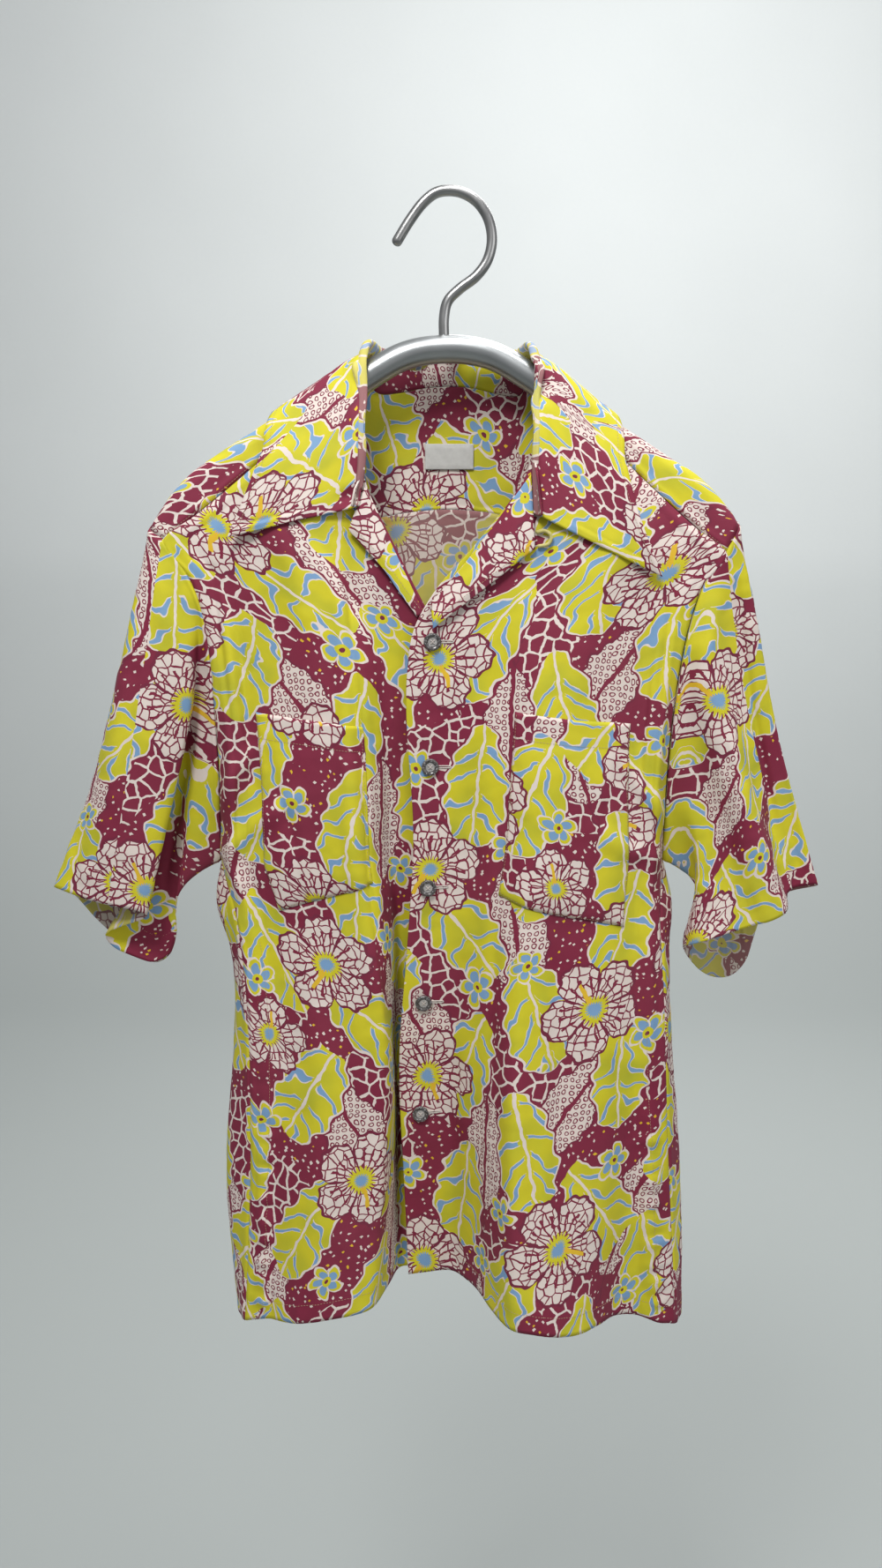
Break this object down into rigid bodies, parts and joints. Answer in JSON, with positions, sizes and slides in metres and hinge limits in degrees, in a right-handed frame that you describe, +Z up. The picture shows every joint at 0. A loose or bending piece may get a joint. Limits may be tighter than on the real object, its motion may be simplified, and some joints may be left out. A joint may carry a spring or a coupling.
{
  "type": "hawaiian shirt on a hanger",
  "caption": "Short-sleeved hawaiian shirt with camp collar, patch pockets and button front, hanging closed on a round-bar hanger with an open hook.",
  "frame": {"origin": "the highest point inside the hanger's hook, where it rests on a rail", "axes": "+Z up, -Y towards the shirt's front, +X to the wearer's left"},
  "size_m": [0.6596, 0.1813, 0.9608],
  "materials": {
    "print": "printed cotton, plain weave, soft low sheen",
    "label": "blank woven tape",
    "button": "dark carved shell, semi-gloss",
    "bar": "satin grey moulded bar",
    "rod": "dark satin steel rod"
  },
  "bodies": {
    "root": {"front_right": "print", "front_left": "print", "back": "print", "yoke": "print", "sleeve_right": "print", "sleeve_left": "print", "collar": "print", "pocket_right": "print", "pocket_left": "print", "lapel_right": "print", "lapel_left": "print", "collar_loop": "print", "neck_label": "label", "button_1": "button", "button_2": "button", "button_3": "button", "button_4": "button", "button_5": "button", "hanger_bar": "bar", "hanger_hook": "rod"}
  },
  "joints": []
}
